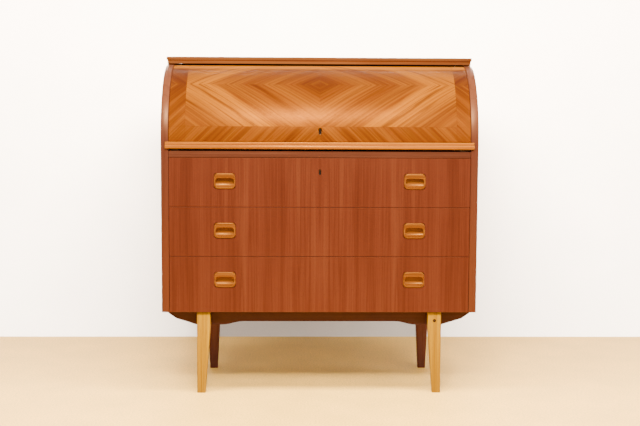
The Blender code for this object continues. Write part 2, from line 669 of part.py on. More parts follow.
def make_handle(name, side, z, holder):
    x = side * HANDLE_SPACING
    face = DRAWER_FACE - HANDLE_PROUD
    bm = bmesh.new()
    add_prism(bm, handle_outline(x, z, -FIT), "Y", face, DRAWER_REAR)
    soften(bm, HANDLE_SOFT, lambda edge: all(v.co.y < face + 0.0001 for v in edge.verts))
    handle = make_part(name, bm, "teak_light", holder)
    half = HANDLE_WIDTH / 2 - HANDLE_WALL
    rise = HANDLE_HEIGHT / 2 - HANDLE_WALL
    well = bmesh.new()
    add_prism(well, well_section(z), "X", x - half - 0.002, x + half + 0.002)
    limit = bmesh.new()
    shape = rounded_rectangle((x - half, x + half), (z - rise, z + rise), HANDLE_WELL_CORNER)
    add_prism(limit, shape, "Y", face - 0.01, DRAWER_REAR)
    cutter = cut(handle, well)
    cut(cutter, limit, "INTERSECT")


def make_drawer(label, low, high, keyed):
    holder = make_holder("drawer_" + label + "_track", (0.0, DRAWER_FACE, (low + high) / 2))
    name = "drawer_" + label
    bottom = low + DRAWER_FRONT_GAP / 2
    top = high - DRAWER_FRONT_GAP / 2
    half = INNER - DRAWER_FRONT_SIDE_GAP
    front = make_box(name + "_front", (-half, half), (DRAWER_FACE, DRAWER_REAR), (bottom, top), "teak_red", holder)
    handle_z = high - HANDLE_BELOW_TOP
    holes = bmesh.new()
    for side in (-1, 1):
        add_prism(holes, handle_outline(side * HANDLE_SPACING, handle_z), "Y", FRONT - 0.01, DRAWER_REAR + 0.01)
    key_z = high - DRAWER_KEY_BELOW_TOP
    if keyed:
        shape = keyhole_outline(0.0, key_z, KEYHOLE_WIDTH, KEYHOLE_HEIGHT)
        add_prism(holes, shape, "Y", FRONT - 0.01, DRAWER_REAR + 0.01)
    cut(front, holes)
    for end, side in (("left", -1), ("right", 1)):
        make_handle(name + "_handle_" + end, side, handle_z, holder)

    box_low = bottom + DRAWER_BOX_RISE
    box_high = top - DRAWER_BOX_DROP
    outer = INNER - DRAWER_SIDE_CLEARANCE
    inner = outer - DRAWER_SIDE_THICK
    middle = (low + high) / 2
    panel_low = box_low + DRAWER_BOTTOM_LIFT
    panel_high = panel_low + DRAWER_BOTTOM_THICK
    back_face = BOX_BACK - DRAWER_SIDE_THICK
    outline = [(outer, BOX_FRONT), (outer, BOX_BACK), (-outer, BOX_BACK), (-outer, BOX_FRONT),
               (-inner, BOX_FRONT), (-inner, back_face), (inner, back_face), (inner, BOX_FRONT)]
    bm = bmesh.new()
    add_prism(bm, outline, "Z", box_low, box_high)
    box = make_part(name + "_box", bm, "pale_wood", holder)
    grooves = bmesh.new()
    for side in (-1, 1):
        x = sorted((side * (outer + 0.002), side * (INNER - 2 * FIT - RUNNER_WIDTH)))
        add_box(grooves, x, (BOX_FRONT - 0.01, BOX_BACK + 0.01),
                (middle - RUNNER_HEIGHT / 2 - RUNNER_SLACK, middle + RUNNER_HEIGHT / 2 + FIT))
    reach = inner + DRAWER_GROOVE
    add_box(grooves, (-reach - FIT, reach + FIT), (BOX_FRONT - 0.01, back_face + DRAWER_GROOVE + FIT),
            (panel_low - FIT, panel_high + FIT))
    cut(box, grooves)
    make_box(name + "_bottom", (-reach, reach), (BOX_FRONT, back_face + DRAWER_GROOVE), (panel_low, panel_high),
             "pale_wood", holder, 0)
    if keyed:
        make_escutcheon("drawer_escutcheon", key_z, DRAWER_FACE - DRAWER_ESCUTCHEON_PROUD, holder)
        make_drawer_lock(top, holder)


def make_drawer_lock(top, holder):
    high = top - DRAWER_LOCK_DROP
    low = high - LOCK_HEIGHT - DRAWER_LOCK_EXTRA
    face = DRAWER_REAR + FIT
    middle = face + LOCK_DEPTH / 2
    bolt_high = high - BOLT_RECESS
    bolt_low = bolt_high - BOLT_LENGTH
    make_lock("drawer_lock_case", face, (low, high), (bolt_low - BOLT_SLACK, high + 0.01), holder)
    track = make_holder("drawer_bolt_track", (0.0, middle, bolt_high))
    make_box("drawer_lock_bolt", (-BOLT_WIDTH / 2, BOLT_WIDTH / 2),
             (middle - BOLT_DEPTH / 2, middle + BOLT_DEPTH / 2), (bolt_low, bolt_high), "brass", track, 0.0004)


# ---- base ----
def apron_outline():
    top = CASE_BOTTOM - FIT
    low = CASE_BOTTOM - APRON_LOW
    middle = CASE_BOTTOM - APRON_MIDDLE
    tip = OUTER - APRON_TIP_INSET
    inner_flat = REAR_LEG_OUT - APRON_FLAT
    half = [(tip, top), (tip, top - APRON_TIP_DROP), (tip - APRON_KNEE_INSET, top - APRON_KNEE_DROP),
            (FRONT_LEG_OUT + APRON_PAST_LEG, low)]
    for step in range(7):
        share = step / 6
        ease = (1 - math.cos(math.pi * share)) / 2
        half.append((inner_flat - APRON_FLARE * share, low + (middle - low) * ease))
    return half + [(-x, z) for x, z in reversed(half)]


def make_leg(name, side, top_x, foot_x, face, depth_sign):
    # top_x and foot_x are the outer and inner edges; depth_sign tells which way the leg tapers,
    # since its flat face is against the apron
    low = 0.0
    top = CASE_BOTTOM - FIT
    bend = CASE_BOTTOM - APRON_LOW
    outline = [(side * foot_x[0], low), (side * top_x[0], bend), (side * top_x[0], top), (side * top_x[1], top),
               (side * top_x[1], bend), (side * foot_x[1], low)]
    if side < 0:
        outline.reverse()
    bm = bmesh.new()
    add_prism(bm, outline, "Y", face, face + LEG_TOP_DEPTH)
    for vert in bm.verts:
        if vert.co.z < low + 0.001:
            if depth_sign > 0 and vert.co.y > face + 0.001:
                vert.co.y = face + LEG_FOOT_DEPTH
            if depth_sign < 0 and vert.co.y < face + 0.001:
                vert.co.y = face + LEG_TOP_DEPTH - LEG_FOOT_DEPTH
    upright = [edge for edge in bm.edges if abs(edge.verts[0].co.z - edge.verts[1].co.z) > 0.01]
    bmesh.ops.bevel(bm, geom=upright, offset=LEG_ROUND, segments=2, profile=0.5, affect="EDGES", material=-1)
    return make_part(name, bm, "beech" if depth_sign > 0 else "teak_dark")


def make_screw(name, x, z, head, tip):
    # head and tip are the y values of the two ends
    neck = head + math.copysign(SCREW_HEAD_HEIGHT, tip - head)
    bm = bmesh.new()
    add_rod(bm, (x, z), SCREW_HEAD_RADIUS, "Y", head, neck, 12)
    cap = max(bm.faces, key=lambda face: abs(face.calc_center_median().y - head))
    bmesh.ops.inset_individual(bm, faces=[cap], thickness=SCREW_HEAD_RADIUS - SCREW_RADIUS)
    grown = bmesh.ops.extrude_face_region(bm, geom=[cap])
    moved = [item for item in grown["geom"] if isinstance(item, bmesh.types.BMVert)]
    bmesh.ops.delete(bm, geom=[cap], context="FACES_ONLY")
    bmesh.ops.translate(bm, verts=moved, vec=(0.0, tip - neck, 0.0))
    make_part(name, bm, "steel")


def make_base():
    front_top = (FRONT_LEG_OUT, FRONT_LEG_OUT - LEG_TOP_WIDTH)
    front_foot = (FRONT_LEG_OUT, FRONT_LEG_OUT - LEG_FOOT_WIDTH)
    rear_top = (REAR_LEG_OUT + REAR_LEG_SPLAY, REAR_LEG_OUT + REAR_LEG_SPLAY - REAR_LEG_TOP_WIDTH)
    rear_foot = (REAR_LEG_OUT, REAR_LEG_OUT - REAR_LEG_FOOT_WIDTH)
    leg_sets = (("front", front_top, front_foot, FRONT + LEG_SETBACK, APRON_Y, 1),
                ("rear", rear_top, rear_foot, REAR_LEG_Y, REAR_APRON_Y, -1))
    z = CASE_BOTTOM - SCREW_DROP
    for label, top_x, foot_x, face, apron_y, sign in leg_sets:
        bm = bmesh.new()
        add_prism(bm, apron_outline(), "Y", apron_y, apron_y + APRON_THICK)
        apron = make_part(label + "_apron", bm, "teak_dark")
        apron_bores = bmesh.new()
        head = face + SCREW_SINK if sign > 0 else face + LEG_TOP_DEPTH - SCREW_SINK
        tip = head + sign * SCREW_LENGTH
        for end, side in (("left", -1), ("right", 1)):
            name = label + "_" + end
            leg = make_leg("leg_" + name, side, top_x, foot_x, face, sign)
            x = side * (top_x[0] + top_x[1]) / 2
            make_screw("leg_screw_" + name, x, z, head, tip)
            well = bmesh.new()
            reach = sorted((head - sign * 0.01, head + sign * (SCREW_HEAD_HEIGHT + FIT)))
            add_rod(well, (x, z), SCREW_HEAD_RADIUS + FIT, "Y", reach[0], reach[1], 12)
            cut(leg, well)
            bore = bmesh.new()
            reach = sorted((head, head + sign * 2 * LEG_TOP_DEPTH))
            add_rod(bore, (x, z), SCREW_RADIUS + FIT, "Y", reach[0], reach[1], 12)
            cut(leg, bore)
            reach = sorted((head, tip + sign * FIT))
            add_rod(apron_bores, (x, z), SCREW_RADIUS + FIT, "Y", reach[0], reach[1], 12)
        cut(apron, apron_bores)
    rail_out = REAR_LEG_OUT - CROSS_RAIL_INSET
    for end, side in (("left", -1), ("right", 1)):
        x = sorted((side * rail_out, side * (rail_out - CROSS_RAIL_THICK)))
        make_box("cross_rail_" + end, x, (APRON_Y + APRON_THICK + FIT, REAR_APRON_Y - FIT),
                 (CASE_BOTTOM - CROSS_RAIL_HEIGHT, CASE_BOTTOM - FIT), "teak_dark")


def clear_scene():
    for item in list(bpy.data.objects):
        bpy.data.objects.remove(item, do_unlink=True)


def main():
    clear_scene()
    make_case()
    for end, side in (("left", -1), ("right", 1)):
        make_runner_frame("runner_frame_" + end, side)
        make_slide_guide("slide_guide_" + end, side)
    make_gallery()
    make_lid()
    make_writing_slide()
    make_drawer("bottom", DRAWER_LINES[0], DRAWER_LINES[1], False)
    make_drawer("middle", DRAWER_LINES[1], DRAWER_LINES[2], False)
    make_drawer("top", DRAWER_LINES[2], DRAWER_LINES[3], True)
    make_base()


main()
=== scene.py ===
import json
import math

import bmesh
import bpy
from mathutils import Matrix, Vector

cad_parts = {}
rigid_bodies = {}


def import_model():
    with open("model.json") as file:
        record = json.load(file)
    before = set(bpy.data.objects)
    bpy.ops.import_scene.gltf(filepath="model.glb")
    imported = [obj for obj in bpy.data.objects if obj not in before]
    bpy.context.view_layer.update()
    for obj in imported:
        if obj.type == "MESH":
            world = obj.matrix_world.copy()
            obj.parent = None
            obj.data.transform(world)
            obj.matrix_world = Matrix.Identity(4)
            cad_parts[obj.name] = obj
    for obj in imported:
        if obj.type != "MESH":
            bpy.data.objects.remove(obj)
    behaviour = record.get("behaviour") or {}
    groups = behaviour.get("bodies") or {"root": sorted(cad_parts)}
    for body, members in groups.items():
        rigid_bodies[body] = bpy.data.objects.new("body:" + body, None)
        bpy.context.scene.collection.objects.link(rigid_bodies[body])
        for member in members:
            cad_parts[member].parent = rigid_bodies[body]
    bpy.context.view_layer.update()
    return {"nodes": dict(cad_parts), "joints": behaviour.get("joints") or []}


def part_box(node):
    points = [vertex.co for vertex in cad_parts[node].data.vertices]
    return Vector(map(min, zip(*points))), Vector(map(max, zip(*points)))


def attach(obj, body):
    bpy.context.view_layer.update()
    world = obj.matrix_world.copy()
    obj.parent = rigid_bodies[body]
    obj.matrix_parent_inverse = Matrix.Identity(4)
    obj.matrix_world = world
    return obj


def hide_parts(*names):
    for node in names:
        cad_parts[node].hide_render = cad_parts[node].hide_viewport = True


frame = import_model()
nodes = frame["nodes"]
jointPlace = {joint["name"]: joint.get("pos_m") for joint in frame["joints"]}
lidAxis = Vector(jointPlace["lid_roll"])
print("desk: frame loaded,", len(nodes), "CAD parts")


# camera and room
cameraView = {"lens": 74.15, "place": (-0.051, -4.2111, 1.0339), "down": 6.22, "turn": -1.574, "roll": 0.348,
              "shift": (-0.0298, -0.0195)}

room = {"floor": (246, 188, 82), "wall": (250, 230, 209), "wallAt": 0.605, "wallHigh": 1.45, "ambient": 0.5}

# every lamp is a soft panel; lights says whether it reaches everything or one part of the scene
lamps = {
    "keyLamp": {"place": (0.0, -2.8, 3.2), "aim": (0.0, 0.0, 0.8), "size": (2.2, 0.9), "watts": 220,
                "lights": "all"},
    "coreLamp": {"place": (-0.2, -2.7, 2.68), "aim": (0.0, 0.0, 0.85), "size": (0.7, 0.36), "watts": 170,
                 "lights": "all"},
    "fillLampLeft": {"place": (-3.2, -2.8, 1.6), "aim": (0.0, 0.0, 0.6), "size": (2.4, 2.0), "watts": 70,
                     "lights": "all"},
    "fillLampRight": {"place": (3.0, -2.4, 1.9), "aim": (0.0, 0.0, 0.6), "size": (2.4, 2.0), "watts": 160,
                      "lights": "all"},
    "backLamp": {"place": (0.8, 4.0, 2.4), "aim": (0.0, 0.0, 0.5), "size": (2.4, 2.0), "watts": 150,
                 "lights": "desk"},
    "wallLamp": {"place": (0.0, -2.2, 2.6), "aim": (0.0, 0.605, 0.7), "size": (2.4, 0.8), "watts": 1650,
                 "lights": "wall"},
    "floorLamp": {"place": (0.0, -0.62, 1.75), "aim": (0.0, -0.62, 0.0), "size": (3.2, 0.4), "watts": 215,
                  "lights": "floor"},
}


def aimed(place, target):
    return (Vector(target) - Vector(place)).to_track_quat("-Z", "Y").to_euler()


def makeCamera(view):
    camera = bpy.data.objects.new("viewCamera", bpy.data.cameras.new("viewCamera"))
    bpy.context.scene.collection.objects.link(camera)
    camera.data.lens = view["lens"]
    camera.data.sensor_width = 36.0
    camera.data.shift_x, camera.data.shift_y = view["shift"]
    turn = Matrix.Rotation(math.radians(view["turn"]), 4, "Z")
    pitch = Matrix.Rotation(math.radians(90 - view["down"]), 4, "X")
    roll = Matrix.Rotation(math.radians(view["roll"]), 4, "Z")
    camera.matrix_world = Matrix.Translation(view["place"]) @ turn @ pitch @ roll
    bpy.context.scene.camera = camera


def makeLamps():
    for name, panel in lamps.items():
        light = bpy.data.lights.new(name, "AREA")
        light.shape = "RECTANGLE"
        light.size, light.size_y = panel["size"]
        light.energy = panel["watts"]
        light.color = (1.0, 0.985, 0.96)
        lamp = bpy.data.objects.new(name, light)
        lamp.location = panel["place"]
        lamp.rotation_euler = aimed(panel["place"], panel["aim"])
        if panel["lights"] != "all":
            lamp.light_linking.receiver_collection = bpy.data.collections[panel["lights"] + "Only"]
            lamp.visible_glossy = False
        bpy.context.scene.collection.objects.link(lamp)
    world = bpy.data.worlds.new("studioAir")
    bpy.context.scene.world = world
    world.use_nodes = True
    background = world.node_tree.nodes["Background"]
    background.inputs["Color"].default_value = (1.0, 0.99, 0.975, 1.0)
    background.inputs["Strength"].default_value = room["ambient"]


# small helpers for shader trees
def linear(red, green, blue):
    # a screen colour, 0 to 255, as the linear colour that a shader takes
    values = []
    for part in (red, green, blue):
        share = part / 255
        values.append(share / 12.92 if share <= 0.04045 else ((share + 0.055) / 1.055) ** 2.4)
    return (*values, 1.0)


def addNode(tree, kind, **settings):
    node = tree.nodes.new(kind)
    for key, value in settings.items():
        setattr(node, key, value)
    return node


def feed(tree, socket, value):
    if isinstance(value, bpy.types.NodeSocket):
        tree.links.new(value, socket)
    else:
        socket.default_value = value


def calc(tree, operation, *values):
    node = addNode(tree, "ShaderNodeMath", operation=operation)
    for socket, value in zip(node.inputs, values):
        feed(tree, socket, value)
    return node.outputs[0]


def combine(tree, x, y, z):
    node = addNode(tree, "ShaderNodeCombineXYZ")
    for socket, value in zip(node.inputs, (x, y, z)):
        feed(tree, socket, value)
    return node.outputs[0]


def separate(tree, vector):
    node = addNode(tree, "ShaderNodeSeparateXYZ")
    tree.links.new(vector, node.inputs[0])
    return node.outputs


def scaled(tree, vector, amount):
    # the same place with all three parts multiplied
    node = addNode(tree, "ShaderNodeVectorMath", operation="SCALE")
    tree.links.new(vector, node.inputs[0])
    node.inputs["Scale"].default_value = amount
    return node.outputs[0]


def noise(tree, vector, detail=2.0, roughness=0.5):
    node = addNode(tree, "ShaderNodeTexNoise")
    tree.links.new(vector, node.inputs["Vector"])
    node.inputs["Scale"].default_value = 1.0
    node.inputs["Detail"].default_value = detail
    node.inputs["Roughness"].default_value = roughness
    return node.outputs[0]


def spread(tree, value, low, high, newLow=0.0, newHigh=1.0):
    node = addNode(tree, "ShaderNodeMapRange")
    for label, amount in (("Value", value), ("From Min", low), ("From Max", high), ("To Min", newLow),
                          ("To Max", newHigh)):
        feed(tree, node.inputs[label], amount)
    return node.outputs[0]


def ramp(tree, value, stops):
    node = addNode(tree, "ShaderNodeValToRGB")
    feed(tree, node.inputs[0], value)
    band = node.color_ramp
    while len(band.elements) < len(stops):
        band.elements.new(1.0)
    for element, (place, colour) in zip(band.elements, stops):
        element.position = place
        element.color = colour
    return node.outputs[0]


def blendColour(tree, amount, first, second, mode="MIX"):
    node = addNode(tree, "ShaderNodeMix", data_type="RGBA", blend_type=mode)
    feed(tree, node.inputs[0], amount)
    feed(tree, node.inputs[6], first)
    feed(tree, node.inputs[7], second)
    return node.outputs[2]


def newGroup(name, inputs, outputs):
    group = bpy.data.node_groups.new(name, "ShaderNodeTree")
    for label, kind, value in inputs:
        socket = group.interface.new_socket(name=label, in_out="INPUT", socket_type=kind)
        if value is not None:
            socket.default_value = value
    for label in outputs:
        group.interface.new_socket(name=label, in_out="OUTPUT", socket_type="NodeSocketFloat")
    return group, addNode(group, "NodeGroupInput"), addNode(group, "NodeGroupOutput")


def useGroup(tree, group, **values):
    node = addNode(tree, "ShaderNodeGroup", node_tree=group)
    for label, value in values.items():
        feed(tree, node.inputs[label], value)
    return node.outputs


# shared effects
def makeWoodGrain():
    # Place: x runs along the grain, y and z across it, in metres
    group, given, result = newGroup("woodGrain", [
        ("Place", "NodeSocketVector", None), ("Band", "NodeSocketFloat", 0.03),
        ("Wave", "NodeSocketFloat", 0.012)], ["Tone", "Streak", "Line", "Pore", "Relief"])
    along, acrossA, acrossB = separate(group, given.outputs["Place"])[0:3]

    def times(value, factor):
        return calc(group, "MULTIPLY", value, factor)

    drift = noise(group, combine(group, times(along, 2.6), times(acrossA, 7.0), times(acrossB, 7.0)), 2.0)
    drift = times(calc(group, "SUBTRACT", drift, 0.5), given.outputs["Wave"])
    side = calc(group, "ADD", acrossA, drift)

    def stretched(alongScale, acrossScale, shift):
        return combine(group, calc(group, "MULTIPLY_ADD", along, alongScale, shift), times(side, acrossScale),
                       times(acrossB, acrossScale))

    bandScale = calc(group, "DIVIDE", 1.0, given.outputs["Band"])
    tone = spread(group, noise(group, stretched(1.1, bandScale, 3.0), 3.0, 0.6), 0.3, 0.7)
    ridge = noise(group, stretched(0.9, times(bandScale, 0.9), 9.0), 1.0)
    ridge = calc(group, "ABSOLUTE", calc(group, "SUBTRACT", ridge, 0.5))
    line = spread(group, ridge, 0.0, 0.035, 1.0, 0.0)
    streak = spread(group, noise(group, stretched(3.0, 240.0, 5.0), 2.0, 0.6), 0.3, 0.7)
    fibre = noise(group, stretched(16.0, 1100.0, 7.0), 1.0)
    pore = spread(group, noise(group, stretched(60.0, 1500.0, 11.0), 1.0), 0.60, 0.72)
    relief = calc(group, "SUBTRACT", calc(group, "MULTIPLY_ADD", fibre, 0.6, streak), pore)
    fineStreak = calc(group, "MULTIPLY_ADD", fibre, 0.35, times(streak, 0.65))
    made = {"Tone": tone, "Streak": fineStreak, "Line": line, "Pore": pore, "Relief": relief}
    for label, socket in made.items():
        group.links.new(socket, result.inputs[label])
    return group


def makeBoxEdge():
    # how near a point is to an edge of an upright box: 1 on the edge, 0 past the width, broken up by noise
    group, given, result = newGroup("boxEdge", [
        ("Place", "NodeSocketVector", None), ("Centre", "NodeSocketVector", None),
        ("Half", "NodeSocketVector", None), ("Width", "NodeSocketFloat", 0.004)], ["Edge"])
    offset = addNode(group, "ShaderNodeVectorMath", operation="SUBTRACT")
    group.links.new(given.outputs["Place"], offset.inputs[0])
    group.links.new(given.outputs["Centre"], offset.inputs[1])
    size = addNode(group, "ShaderNodeVectorMath", operation="ABSOLUTE")
    group.links.new(offset.outputs[0], size.inputs[0])
    gap = addNode(group, "ShaderNodeVectorMath", operation="SUBTRACT")
    group.links.new(given.outputs["Half"], gap.inputs[0])
    group.links.new(size.outputs[0], gap.inputs[1])
    x, y, z = separate(group, gap.outputs[0])[0:3]
    # the second smallest of the three distances is the distance to the nearest edge
    low = calc(group, "MINIMUM", x, y)
    high = calc(group, "MAXIMUM", x, y)
    near = calc(group, "MAXIMUM", low, calc(group, "MINIMUM", high, z))
    rough = noise(group, scaled(group, given.outputs["Place"], 60.0), 3.0, 0.7)
    reach = calc(group, "MULTIPLY", given.outputs["Width"], spread(group, rough, 0.3, 0.7, 0.25, 1.6))
    edge = spread(group, calc(group, "DIVIDE", near, reach), 0.0, 1.0, 1.0, 0.0)
    group.links.new(edge, result.inputs["Edge"])
    return group


def makeHandling():
    # soft smudges and small marks of years of use
    group, given, result = newGroup("handling", [("Place", "NodeSocketVector", None)], ["Smudge", "Mark"])
    smudge = noise(group, scaled(group, given.outputs["Place"], 9.0), 4.0, 0.65)
    mark = noise(group, scaled(group, given.outputs["Place"], 150.0), 2.0, 0.5)
    group.links.new(spread(group, smudge, 0.3, 0.72), result.inputs["Smudge"])
    group.links.new(spread(group, mark, 0.69, 0.76), result.inputs["Mark"])
    return group


woodGrain = makeWoodGrain()
boxEdge = makeBoxEdge()
handling = makeHandling()


# wood finishes
# dark, middle and light are screen colours; band and wave are in metres
woods = {
    "caseTeak": {"dark": (68, 28, 17), "middle": (81, 36, 22), "light": (95, 46, 28), "band": 0.035,
                 "wave": 0.010, "along": "Z", "roughness": 0.38, "shine": 0.5,
                 # the side panels turn paler towards the top, a painted reflection
                 "paintedReflectColour": (132, 74, 44), "paintedReflectSpan": (0.78, 0.96)},
    "railTeak": {"dark": (64, 29, 17), "middle": (77, 36, 21), "light": (92, 48, 29), "band": 0.02,
                 "wave": 0.006, "along": "X", "roughness": 0.38},
    "topTeak": {"dark": (76, 34, 9), "middle": (94, 46, 15), "light": (114, 62, 23), "band": 0.03,
                "wave": 0.012, "along": "X", "roughness": 0.34},
    "solidTeak": {"dark": (132, 66, 12), "middle": (166, 90, 18), "light": (190, 114, 32), "band": 0.012,
                  "wave": 0.004, "along": "X", "roughness": 0.24, "shine": 0.5, "tint": (1.0, 0.35, 0.05)},
    "handleTeak": {"dark": (96, 44, 10), "middle": (120, 62, 14), "light": (146, 84, 22), "band": 0.010,
                   "wave": 0.004, "along": "X", "roughness": 0.30, "shine": 0.5,
                   "tint": (1.0, 0.40, 0.08)},
    "insideTeak": {"dark": (116, 68, 30), "middle": (136, 84, 42), "light": (156, 104, 58), "band": 0.03,
                   "wave": 0.010, "along": "X", "roughness": 0.44},
    "frameTeak": {"dark": (40, 19, 16), "middle": (51, 25, 21), "light": (64, 34, 28), "band": 0.02,
                  "wave": 0.006, "along": "X", "roughness": 0.46},
    "beechLeg": {"dark": (146, 90, 2), "middle": (184, 124, 4), "light": (210, 150, 10), "band": 0.012,
                 "wave": 0.004, "along": "Z", "roughness": 0.40, "tint": (1.0, 0.35, 0.02)},
    # the rear legs are darker and redder than the front legs
    "rearLegWood": {"dark": (70, 34, 25), "middle": (86, 43, 31), "light": (102, 56, 40), "band": 0.012,
                   "wave": 0.004, "along": "Z", "roughness": 0.44},
    "drawerWood": {"dark": (150, 118, 76), "middle": (168, 136, 92), "light": (186, 156, 112), "band": 0.025,
                   "wave": 0.006, "along": "Y", "roughness": 0.62},
    "runnerWood": {"dark": (142, 106, 66), "middle": (160, 124, 80), "light": (178, 144, 98), "band": 0.018,
                   "wave": 0.004, "along": "Y", "roughness": 0.6},
    "backBoard": {"dark": (80, 48, 26), "middle": (98, 60, 36), "light": (116, 76, 48), "band": 0.05,
                  "wave": 0.02, "along": "Z", "roughness": 0.66},
}


def newMaterial(name):
    material = bpy.data.materials.new(name)
    material.use_nodes = True
    tree = material.node_tree
    shader = tree.nodes["Principled BSDF"]
    place = addNode(tree, "ShaderNodeTexCoord").outputs["Object"]
    return material, tree, shader, place


def grainPlace(tree, place, along):
    # turns an object place so that x runs along the grain
    x, y, z = separate(tree, place)[0:3]
    order = {"X": (x, y, z), "Y": (y, x, z), "Z": (z, x, y)}[along]
    return combine(tree, *order)


def darker(colour, share):
    return (*[value * share for value in colour[:3]], 1.0)


def finishWood(tree, shader, place, grain, wood, base=None, edge=None):
    # colour from the grain, then pores, wear and marks, then gloss and relief
    dark, middle, light = (linear(*wood[key]) for key in ("dark", "middle", "light"))
    mixed = calc(tree, "MULTIPLY_ADD", grain["Streak"], 0.45, calc(tree, "MULTIPLY", grain["Tone"], 0.55))
    colour = ramp(tree, mixed, [(0.12, dark), (0.5, middle), (0.88, light)])
    if base is not None:
        colour = blendColour(tree, 0.62, colour, base)
    colour = blendColour(tree, calc(tree, "MULTIPLY", grain["Line"], wood.get("lines", 0.35)), colour, dark)
    colour = blendColour(tree, calc(tree, "MULTIPLY", grain["Pore"], 0.38), colour, darker(dark, 0.45))
    use = useGroup(tree, handling, Place=place)
    colour = blendColour(tree, calc(tree, "MULTIPLY", use["Mark"], 0.25), colour, darker(dark, 0.6))
    if edge is not None:
        colour = blendColour(tree, calc(tree, "MULTIPLY", edge, 0.55), colour, light)
    tree.links.new(colour, shader.inputs["Base Color"])
    gloss = calc(tree, "MULTIPLY_ADD", use["Smudge"], 0.10, wood["roughness"] - 0.05)
    gloss = calc(tree, "MULTIPLY_ADD", grain["Pore"], 0.12, gloss)
    tree.links.new(gloss, shader.inputs["Roughness"])
    shader.inputs["Specular IOR Level"].default_value = wood.get("shine", 0.35)
    shader.inputs["Specular Tint"].default_value = (*wood.get("tint", (1.0, 0.50, 0.22)), 1.0)
    bump = addNode(tree, "ShaderNodeBump")
    bump.inputs["Strength"].default_value = 0.12
    bump.inputs["Distance"].default_value = 0.0006
    tree.links.new(grain["Relief"], bump.inputs["Height"])
    tree.links.new(bump.outputs[0], shader.inputs["Normal"])


def makeWood(name, wood, box=None, fold=False):
    material, tree, shader, place = newMaterial(name)
    source = place
    if fold:
        # book-matched about the desk's middle
        x, y, z = separate(tree, place)[0:3]
        source = combine(tree, calc(tree, "ABSOLUTE", x), y, z)
    turned = grainPlace(tree, source, wood["along"])
    grain = useGroup(tree, woodGrain, Place=turned, Band=wood["band"], Wave=wood["wave"])
    base = None
    if "paintedReflectColour" in wood:
        # paler paint on the upper part stands in for a bright reflection
        reflectShare = spread(tree, separate(tree, place)[2], *wood["paintedReflectSpan"])
        base = blendColour(tree, reflectShare, linear(*wood["middle"]), linear(*wood["paintedReflectColour"]))
    edge = None
    if box:
        low, high = box
        centre = (Vector(low) + Vector(high)) / 2
        half = (Vector(high) - Vector(low)) / 2
        edge = useGroup(tree, boxEdge, Place=place, Centre=centre, Half=half, Width=wood["wear"])["Edge"]
    finishWood(tree, shader, place, grain, wood, base, edge)
    return material


drawerVeneer = {"dark": (72, 26, 13), "middle": (88, 36, 19), "light": (101, 47, 25), "band": 0.026,
                "wave": 0.008, "along": "Z", "roughness": 0.36, "lines": 0.55, "wear": 0.0022}


def makeDrawerVeneer(name, box):
    return makeWood(name, drawerVeneer, box, fold=True)


# seamTurn and grainTurn are in degrees, the bands in metres
lidVeneer = {"dark": (76, 28, 6), "middle": (112, 52, 7), "light": (138, 74, 9), "gold": (184, 104, 0),
             # the paler colour along the top of the lid is a painted reflection
             "paintedReflectColour": (240, 140, 30), "band": 0.016, "wave": 0.014, "roughness": 0.34, "lines": 0.5,
             "shine": 0.5, "tint": (1.0, 0.30, 0.02), "seamTurn": 49.0, "grainTurn": 35.8,
             "sideBand": {"left": 0.0490, "right": 0.0420}, "bottomBand": 0.0477}


